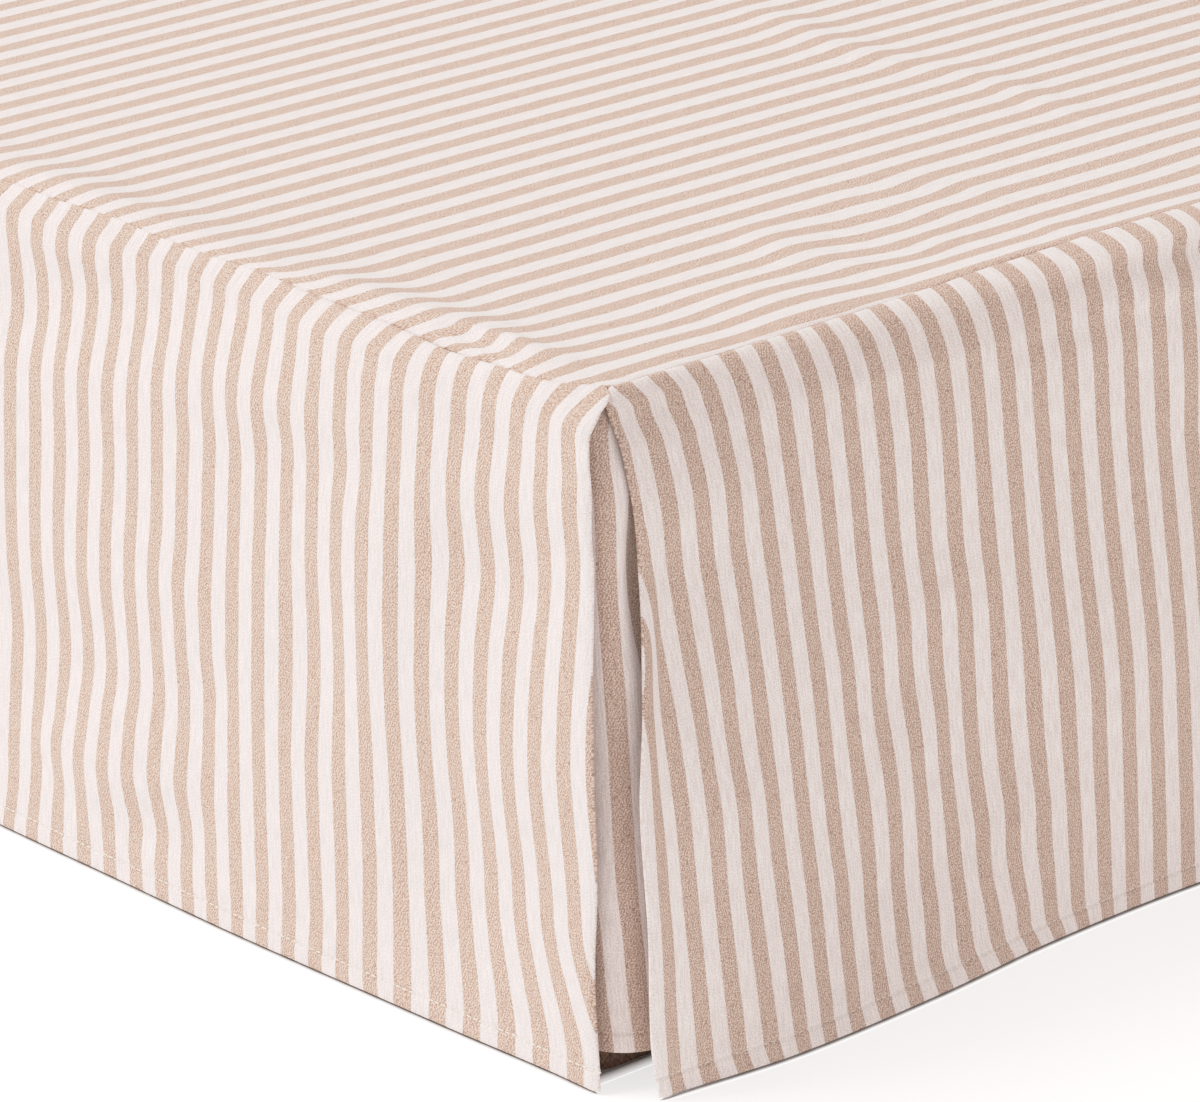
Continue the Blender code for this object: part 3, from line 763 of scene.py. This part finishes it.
def weighted(tree, value, weight, rest=0.0):
    """value times weight, plus the rest."""
    return sum_of(tree, "MULTIPLY_ADD", value, weight, rest)


def wave(tree, value, length):
    """A sine wave with this length."""
    return sum_of(tree, "SINE", weighted(tree, value, 2 * math.pi / length))


def ramp(tree, value, low, high, start=0.0, end=1.0):
    """start below low, end above high and an S-curve between."""
    wires = {"Value": value, "From Min": low, "From Max": high, "To Min": start, "To Max": end}
    return wired(tree, "ShaderNodeMapRange", wires, interpolation_type="SMOOTHSTEP").outputs["Result"]


def blended(tree, share, first, second):
    """A mix of two colours."""
    return wired(tree, "ShaderNodeMix", {0: share, 6: first, 7: second}, data_type="RGBA").outputs[2]


def bumped(tree, height, strength, distance):
    """The tilt of a surface whose height is that of a pattern."""
    wires = {"Height": height, "Strength": strength, "Distance": distance}
    return wired(tree, "ShaderNodeBump", wires).outputs[0]


def finish_with(name, pattern):
    """A material whose surface is filled by a pattern, a function that returns the shader's inputs."""
    material = bpy.data.materials.new(name)
    material.use_nodes = True
    tree = material.node_tree
    fill(tree, tree.nodes["Principled BSDF"], pattern(tree))
    print(name, "made of", len(tree.nodes), "nodes")
    return material


def yarn_noise(tree, place, across_size, along_size, detail=2.0):
    """Noise whose grains are across_size by along_size metres on the cloth."""
    x, y = sum_of(tree, "DIVIDE", place[0], across_size), sum_of(tree, "DIVIDE", place[1], along_size)
    vector = wired(tree, "ShaderNodeCombineXYZ", {"X": x, "Y": y}).outputs[0]
    wires = {"Vector": vector, "Scale": 1.0, "Detail": detail, "Roughness": 0.6}
    return wired(tree, "ShaderNodeTexNoise", wires, noise_dimensions="2D").outputs["Fac"]


# %% Striped ticking
WHITE, WHITE_SHADE = (0.895, 0.788, 0.763, 1), (0.670, 0.577, 0.553, 1)
TAN_LIGHT, TAN_MIDDLE, TAN_DARK = (0.770, 0.600, 0.520, 1), (0.530, 0.387, 0.320, 1), (0.345, 0.228, 0.176, 1)
WAVER, FRINGE = 0.0010, 0.0007  # how far a stripe's edge strays, slowly and from yarn to yarn
EDGE_SHIFT = 0.00085  # the mean of both, taken off again
EDGE_BLUR = 0.012  # of a tan edge, as a share of a tan and a white stripe together
TWILL_STEP, TWILL_SLOPE, TWILL_WANDER = 0.00165, 0.55, 0.0016


def ticking_pattern(tree):
    threads = wired(tree, "ShaderNodeUVMap", {}, uv_map="threads").outputs[0]
    place = wired(tree, "ShaderNodeSeparateXYZ", {0: threads}).outputs
    across, along = place[0], place[1]

    waver = yarn_noise(tree, place, 0.030, 0.045, 1.0)
    fringe = yarn_noise(tree, place, 0.0009, 0.0013, 1.0)
    moved = weighted(tree, waver, WAVER, across)
    moved = weighted(tree, fringe, FRINGE, moved)
    repeats = sum_of(tree, "DIVIDE", moved, 2 * STRIPE)
    turns = sum_of(tree, "SUBTRACT", repeats, 0.25 + EDGE_SHIFT / (2 * STRIPE))
    from_tan = sum_of(tree, "PINGPONG", turns, 0.5)
    is_tan = ramp(tree, from_tan, 0.25 - EDGE_BLUR, 0.25 + EDGE_BLUR, 1.0, 0.0)

    slant = weighted(tree, along, TWILL_SLOPE, across)
    wander = yarn_noise(tree, place, 0.004, 0.004)
    slant = weighted(tree, wander, TWILL_WANDER, slant)
    twill = wave(tree, slant, TWILL_STEP)
    grain = yarn_noise(tree, place, 0.0007, 0.0008)
    streak = yarn_noise(tree, place, 0.0009, 0.0120)
    weave = weighted(tree, streak, 0.25, weighted(tree, grain, 1.25))
    weave = weighted(tree, twill, 0.06, weave)
    tan = blended(tree, ramp(tree, weave, 0.56, 0.76), TAN_DARK, TAN_MIDDLE)
    tan = blended(tree, ramp(tree, weave, 0.74, 0.96), tan, TAN_LIGHT)
    slub = yarn_noise(tree, place, 0.0012, 0.0024, 0.0)
    tan = blended(tree, ramp(tree, slub, 0.76, 0.86), tan, TAN_DARK)
    plain = weighted(tree, streak, 0.45, weighted(tree, grain, 0.75))
    white = blended(tree, ramp(tree, plain, 0.46, 0.74), WHITE_SHADE, WHITE)
    ridge = weighted(tree, twill, 0.25, grain)
    flat = weighted(tree, plain, 0.6)
    height = weighted(tree, ridge, is_tan, flat)
    return {
        "Base Color": blended(tree, is_tan, white, tan),
        "Normal": bumped(tree, height, 0.5, 0.00025),
        "Roughness": ramp(tree, grain, 0.2, 0.8, 0.95, 0.82),
        "Specular IOR Level": 0.25,
        "Sheen Weight": 0.25,
        "Sheen Roughness": 0.5,
    }


ticking = finish_with("striped_ticking", ticking_pattern)

# %% [markdown]
# ## Laying the cloth over its solids
# Each finished sheet stands for the solid of the same piece and rides on the same body. A sheet of cloth
# keeps its area however it hangs.

# %% Dress one piece
def dress(node, cloth, outward, flat, held, rests_on):
    sheet = cloth_sheet(node.removesuffix("_panel") + "_cloth", *cloth, outward)
    sheet.data.materials.append(ticking)
    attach(sheet, "root")
    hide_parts(node)


# %% All six pieces of cloth
HUNG = ("hung", ["deck_cloth"])
SIDE_FLAT, PLEAT_FLAT = (2.010, 0.375), (0.210, 0.335)
dress("deck_panel", deck_cloth(), (0, 0, 1), (1.484, 1.996), "laid", ["bed_base"])
dress("foot_drop", foot, (0, -1, 0), (1.530, 0.370), *HUNG)
dress("right_side_drop", right_side, (1, 0, 0), SIDE_FLAT, *HUNG)
dress("left_side_drop", left_side, (-1, 0, 0), SIDE_FLAT, *HUNG)
pleats = [pleat_cloth(False), pleat_cloth(True)]
dress("right_corner_pleat", pleats[0], (1, -1, 0), PLEAT_FLAT, *HUNG)
dress("left_corner_pleat", pleats[1], (-1, -1, 0), PLEAT_FLAT, *HUNG)

# %% [markdown]
# ## Stitches
# A straight stitch shows as a row of short, slightly domed dashes. Modelling each by hand would take days,
# so Geometry Nodes make them: a line is cut into equal steps, a small bead is set at each step and turned
# along the line, and small random turns keep the row from looking printed.

# %% A line a little in front of the cloth
THREAD_PROUD = 0.00022


def stitch_line(points):
    """Points along a piece of cloth at the height of its hem's stitches."""
    line = []
    for cloth, facing in zip(points.swapaxes(0, 1), grid_normals(points).swapaxes(0, 1)):
        heights = cloth[:, 2] - cloth[-1, 2]
        order = np.argsort(heights)
        at, face = (
            np.array([np.interp(HEM_BAND, heights[order], values[order, k]) for k in range(3)])
            for values in (cloth, facing)
        )
        line.append(at + THREAD_PROUD * face)
    return np.array(line)


# %% The stitch tree
BEAD_SEGMENTS, BEAD_RINGS = 6, 5
BEAD_POINTS = BEAD_SEGMENTS * (BEAD_RINGS - 1) + 2
WOBBLE = 0.07  # how far a stitch may turn either way, in radians


def stitch_tree(thread):
    """Beads along a line, each one a stitch."""
    tree = bpy.data.node_groups.new("row_of_stitches", "GeometryNodeTree")
    floats = {"Step": "Float", "Stitch length": "Float", "Thread width": "Float"}
    for label, kind in {"Line": "Geometry", **floats, "Seed": "Int"}.items():
        tree.interface.new_socket(name=label, in_out="INPUT", socket_type="NodeSocket" + kind)
    tree.interface.new_socket(name="Stitches", in_out="OUTPUT", socket_type="NodeSocketGeometry")
    start = tree.nodes.new("NodeGroupInput").outputs

    def step(kind, wires, **settings):
        return wired(tree, kind, wires, **settings).outputs[0]

    curve = step("GeometryNodeMeshToCurve", {"Mesh": start["Line"]})
    stepped = step("GeometryNodeResampleCurve", {"Curve": curve, "Length": start["Step"]}, mode="LENGTH")
    ball = {"Segments": BEAD_SEGMENTS, "Rings": BEAD_RINGS, "Radius": 0.5}
    bead = step("GeometryNodeMeshUVSphere", ball)
    width = start["Thread width"]
    size = step("ShaderNodeCombineXYZ", {"X": width, "Y": width, "Z": start["Stitch length"]})
    dash = step("GeometryNodeTransform", {"Geometry": bead, "Scale": size})
    tangent = step("GeometryNodeInputTangent", {})
    turn = step("FunctionNodeAlignRotationToVector", {"Vector": tangent}, axis="Z")
    row = step("GeometryNodeInstanceOnPoints", {"Points": stepped, "Instance": dash, "Rotation": turn})
    least, most = (-WOBBLE, -WOBBLE, 0.0), (WOBBLE, WOBBLE, 0.0)
    wobble_wires = {0: least, 1: most, "Seed": start["Seed"]}
    wobble = step("FunctionNodeRandomValue", wobble_wires, data_type="FLOAT_VECTOR")
    turned = step("GeometryNodeRotateInstances", {"Instances": row, "Rotation": wobble})
    real = step("GeometryNodeRealizeInstances", {"Geometry": turned})
    finished = step("GeometryNodeSetMaterial", {"Geometry": real, "Material": thread})
    tree.links.new(finished, tree.nodes.new("NodeGroupOutput").inputs[0])
    return tree


def sewn(name, lines, tree, step, length, width, seed):
    """A plain mesh of all the stitches along some lines."""
    points = np.concatenate(lines)
    edges, first = [], 0
    for line in lines:
        edges += [(first + i, first + i + 1) for i in range(len(line) - 1)]
        first += len(line)
    mesh = bpy.data.meshes.new(name + "_line")
    mesh.from_pydata(points.tolist(), edges, [])
    line_object = added(name + "_line", mesh)
    modifier = line_object.modifiers.new("stitches", "NODES")
    modifier.node_group = tree
    values = {"Step": step, "Stitch length": length, "Thread width": width, "Seed": seed}
    for item in tree.interface.items_tree:
        if item.in_out == "INPUT" and item.name in values:
            modifier[item.identifier] = values[item.name]
    bpy.context.view_layer.update()
    evaluated = line_object.evaluated_get(bpy.context.evaluated_depsgraph_get())
    made = bpy.data.meshes.new_from_object(evaluated)
    made.name = name
    made.shade_smooth()
    bpy.data.objects.remove(line_object)
    stitches = added(name, made)
    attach(stitches, "root")
    print(f"{name}: {len(made.vertices) // BEAD_POINTS} stitches")


# %% Thread
CREAM, CREAM_SHADE = (0.90, 0.82, 0.74, 1), (0.72, 0.656, 0.592, 1)


def thread_pattern(tree):
    """Twisted sewing thread: fine fibres on a soft, matt yarn."""
    place = wired(tree, "ShaderNodeTexCoord", {}).outputs["Object"]
    wires = {"Vector": place, "Scale": 900.0, "Detail": 1.0}
    fibre = wired(tree, "ShaderNodeTexNoise", wires).outputs["Fac"]
    colour = blended(tree, fibre, CREAM_SHADE, CREAM)
    return {"Base Color": colour, "Normal": bumped(tree, fibre, 0.4, 0.0001), "Roughness": 0.7}


# %% Hem stitches
hem_tree = stitch_tree(finish_with("cream_thread", thread_pattern))
hem_lines = [stitch_line(cloth[0]) for cloth in (foot, right_side, left_side, *pleats)]
sewn("hem_stitches", hem_lines, hem_tree, step=0.0044, length=0.0037, width=0.0008, seed=5)

# %% [markdown]
# ## The bed base
# The base is upholstered in a coarse dark brown cloth. Its solid already has the right shape, so only its
# finish is new: a plain weave of thick yarns, whose crossings stand up and catch a little light.

# %% Base cloth
BASE_YARN = 0.0034
BROWN_SHADE, BROWN = (0.058, 0.030, 0.017, 1), (0.240, 0.135, 0.080, 1)


def brown_pattern(tree):
    place = wired(tree, "ShaderNodeTexCoord", {}).outputs["Object"]
    axes = wired(tree, "ShaderNodeSeparateXYZ", {0: place})
    around = sum_of(tree, "ADD", axes.outputs[0], axes.outputs[1])
    over, under = wave(tree, around, BASE_YARN), wave(tree, axes.outputs[2], BASE_YARN)
    wires = {"Vector": place, "Scale": 420.0, "Detail": 3.0}
    fibre = wired(tree, "ShaderNodeTexNoise", wires).outputs["Fac"]
    height = weighted(tree, weighted(tree, over, under), 0.12, fibre)
    colour = blended(tree, ramp(tree, height, 0.2, 0.9), BROWN_SHADE, BROWN)
    tilt = bumped(tree, height, 0.8, 0.0007)
    return {"Base Color": colour, "Normal": tilt, "Roughness": 0.92, "Sheen Weight": 0.2}


brown = finish_with("coarse_brown_cloth", brown_pattern)
for base_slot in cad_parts["bed_base"].material_slots:
    base_slot.material = brown

# %% [markdown]
# ## Floor, light and camera
# A plain white floor and soft, even light show the cloth's own colours. The floor glows a little, to stay
# white beside the bed. Close under the hems and the base no light gets in, so narrow strips of floor there
# lose that glow. One large soft lamp at the front left lights the foot drop and the deck a little more than
# the right side drop, which gives the folds their shape. The camera stands well back with a long lens, so
# that upright edges stay nearly upright.

# %% Floor
FLOOR_HALF, FLOOR_GLOW = 40, 0.80


def floor_pattern(tree):
    glow = wired(tree, "ShaderNodeAttribute", {}, attribute_name="glow").outputs["Fac"]
    return {
        "Base Color": (0.62, 0.615, 0.61, 1),
        "Roughness": 0.9,
        "Emission Color": (1.0, 0.985, 0.975, 1),
        "Emission Strength": weighted(tree, glow, FLOOR_GLOW),
    }


floor_white = finish_with("white_floor", floor_pattern)


def floor_patch(name, points, faces, glow):
    """A flat piece of floor. glow: its own glow at each point, as a share of the open floor's."""
    mesh = bpy.data.meshes.new(name)
    mesh.from_pydata(points, [], faces)
    mesh.attributes.new("glow", "FLOAT", "POINT").data.foreach_set("value", np.array(glow, np.float32))
    mesh.materials.append(floor_white)
    added(name, mesh)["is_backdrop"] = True


floor_corners = [(x * FLOOR_HALF, y * FLOOR_HALF, 0) for x, y in ((-1, -1), (1, -1), (1, 1), (-1, 1))]
floor_patch("floor", floor_corners, [(0, 1, 2, 3)], [1] * 4)

# %% Contact shade
# out: the distance outside a line on the floor. glow: the floor's glow there, as a share
HEM_SHADE = table("out glow", [(-11, 1), (-6, 0), (0, 0), (1.8, 1)])
BASE_SHADE = table("out glow", [(-5, 0), (2, 0), (10, 1)])
SHADE_TAPER, SHADE_LEAST = 0.012, 0.1  # a strip grows from its least width over this length, at both ends
HEM_SHADE_UP, BASE_SHADE_UP = 0.0004, 0.0002  # above the floor


def shade_line(name, line, outward, steps, height):
    """A strip of floor along a line that something stands over, narrow at both ends of the line."""
    line, outward = np.asarray(line)[:, :2], np.broadcast_to(outward, (len(line), 2))
    walked = run_lengths(line)
    from_end = np.minimum(walked, walked[-1] - walked)
    taper = np.clip(from_end / SHADE_TAPER, SHADE_LEAST, 1)[:, None]
    flat = np.concatenate([line + MM * step.out * taper * outward for step in steps])
    points = np.column_stack([flat, np.full(len(flat), height)])
    faces = grid_quads(len(steps), len(line))[:, [0, 3, 2, 1]]  # facing up
    floor_patch(name, points.tolist(), faces.tolist(), np.repeat([step.glow for step in steps], len(line)))
    print(f"{name}: {walked[-1]:.2f} m")


hems = (("foot", foot, (0, -1)), ("right", right_side, (1, 0)), ("left", left_side, (-1, 0)))
for hem_name, cloth, outward in hems:
    shade_line(f"shade_under_{hem_name}_hem", cloth[0][-1], outward, HEM_SHADE, HEM_SHADE_UP)
base_x, base_y = SIDE_PLANE - BASE_SIDE_GAP, BASE_FOOT_GAP - FOOT_PLANE
round_base = [(base_x, HEAD_EDGE), (base_x, base_y), (-base_x, base_y), (-base_x, HEAD_EDGE)]
shade_line("shade_under_base", round_base, [(1, 0), (1, -1), (-1, -1), (-1, 0)], BASE_SHADE, BASE_SHADE_UP)

# %% Light
LIGHT_COLOUR = (1.0, 0.955, 0.93)
world = bpy.data.worlds.new("soft_room")
bpy.context.scene.world = world
world.use_nodes = True
room = world.node_tree
fill(room, room.nodes["Background"], {"Color": (*LIGHT_COLOUR, 1), "Strength": 0.655})


def stand(thing, at, back, roll=0.0):
    """Puts a lamp or a camera in its place, with its back to one direction."""
    back = unit(back)
    side = unit(np.cross((0, 0, 1), back))
    top = np.cross(back, side)
    side, top = math.cos(roll) * side + math.sin(roll) * top, math.cos(roll) * top - math.sin(roll) * side
    thing.matrix_world = Matrix([(side[k], top[k], back[k], at[k]) for k in range(3)] + [(0, 0, 0, 1)])


lamp = bpy.data.lights.new("window_left", "AREA")
lamp.shape, lamp.size, lamp.energy, lamp.color = "SQUARE", 2.6, 375, LIGHT_COLOUR
lamp_place, lit_spot = np.array((-1.7, -3.2, 5.6)), np.array((0.0, -0.6, 0.2))
stand(added("window_left", lamp), lamp_place, lamp_place - lit_spot)

# %% Camera
camera_data = bpy.data.cameras.new("camera")
camera_data.sensor_width, camera_data.sensor_fit, camera_data.lens = 36.0, "HORIZONTAL", 217.25
camera_data.clip_start, camera_data.clip_end = 0.1, 100
camera = added("camera", camera_data)
turn, tilt, roll = 0.822209, 0.365381, 0.0060187
back = (math.sin(turn) * math.cos(tilt), -math.cos(turn) * math.cos(tilt), math.sin(tilt))
stand(camera, (3.0360, -3.1243, 1.4593), back, roll)
bpy.context.scene.camera = camera

# %% Tone
# The brightest tones are drawn together, as film and sensors draw them.
view = bpy.context.scene.view_settings
view.view_transform = "Standard"
view.use_curve_mapping = True
tones = view.curve_mapping
tones.white_level = (1.5, 1.5, 1.5)
TONES = [(0.2, 0.3), (0.333, 0.492), (0.44, 0.628), (0.567, 0.757), (0.713, 0.845), (0.86, 0.932)]
for point in table("light tone", TONES):
    tones.curves[3].points.new(point.light, point.tone)
tones.update()

# %% Print the two boxes and finish
dressed_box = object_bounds()
boxes = {"solids": solids_box, "dressed": dressed_box}
boxes = {name: [list(corner) for corner in box] for name, box in boxes.items()}
print(boxes)
